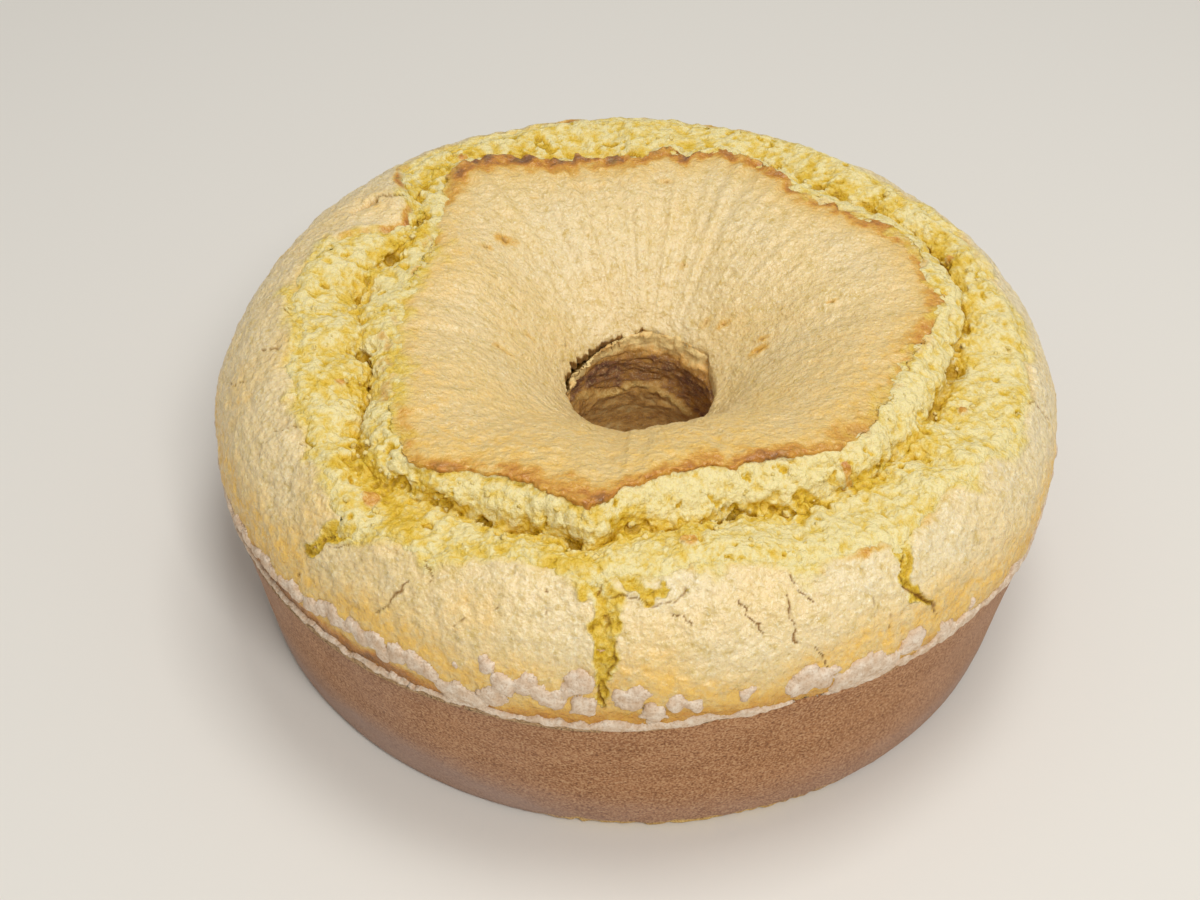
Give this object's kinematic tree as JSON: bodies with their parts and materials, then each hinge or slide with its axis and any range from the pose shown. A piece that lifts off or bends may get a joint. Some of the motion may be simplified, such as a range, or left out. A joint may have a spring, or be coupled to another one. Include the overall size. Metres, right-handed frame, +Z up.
{
  "type": "corn cake",
  "caption": "Whole golden corn cake baked in a ring pan, with a funnel-shaped hole, a torn, crumbly ring around its smooth middle and a floury rim.",
  "frame": {"origin": "on the cake's axis, at the middle of its flat base", "axes": "+Z up through the hole, out of the torn top; -Y towards the side with the long crack"},
  "size_m": [0.2216, 0.2214, 0.0869],
  "materials": {
    "baked_cake": "matte baked crumb and crust, pale gold on top, brown and dusted with flour on the side"
  },
  "bodies": {
    "root": {"cake": "baked_cake"}
  },
  "joints": []
}
